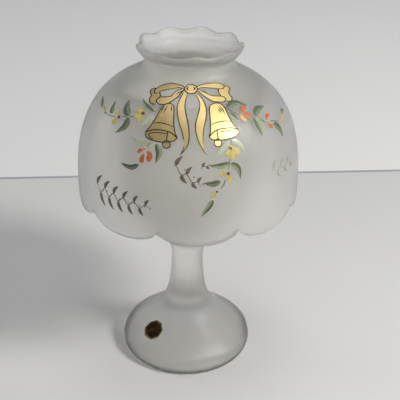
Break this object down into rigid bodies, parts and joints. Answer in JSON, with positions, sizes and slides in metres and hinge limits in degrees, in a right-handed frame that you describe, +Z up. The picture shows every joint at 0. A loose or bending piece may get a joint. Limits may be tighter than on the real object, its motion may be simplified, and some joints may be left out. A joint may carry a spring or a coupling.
{
  "type": "candle lamp",
  "caption": "Frosted-glass pedestal candle lamp: a stemmed goblet holds a tealight under a loose dome shade with a ruffled open collar and a scalloped lower edge.",
  "frame": {"origin": "centre of the foot's resting ring, on the surface that the lamp stands on", "axes": "+Z up the lamp's axis, the painted front of the shade faces -Y, +X is to the right when facing that front"},
  "size_m": [0.1242, 0.1242, 0.1933],
  "materials": {
    "shade_glass": "satin etched",
    "pedestal_glass": "satin etched",
    "fired_gold": "burnished",
    "enamel": "fired enamel paint",
    "seal_foil": "dark foil with a gold edge",
    "cup_aluminium": "bright",
    "candle_wax": "satin wax",
    "sustainer_steel": "tinned",
    "wick_cotton": "waxed cotton"
  },
  "bodies": {
    "base": {"pedestal": "pedestal_glass", "foil_seal": "seal_foil"},
    "shade": {"glass_shade": "shade_glass"},
    "tealight": {"tealight_cup": "cup_aluminium", "candle_wax": "candle_wax", "wick_sustainer": "sustainer_steel", "wick": "wick_cotton"}
  },
  "joints": [
    {"name": "shade_lift", "type": "slide", "parent": "base", "child": "shade", "axis": [0, 0, 1], "range_m": [0, 0.1]},
    {"name": "tealight_lift", "type": "slide", "parent": "base", "child": "tealight", "axis": [0, 0, 1], "range_m": [0, 0.12]}
  ]
}
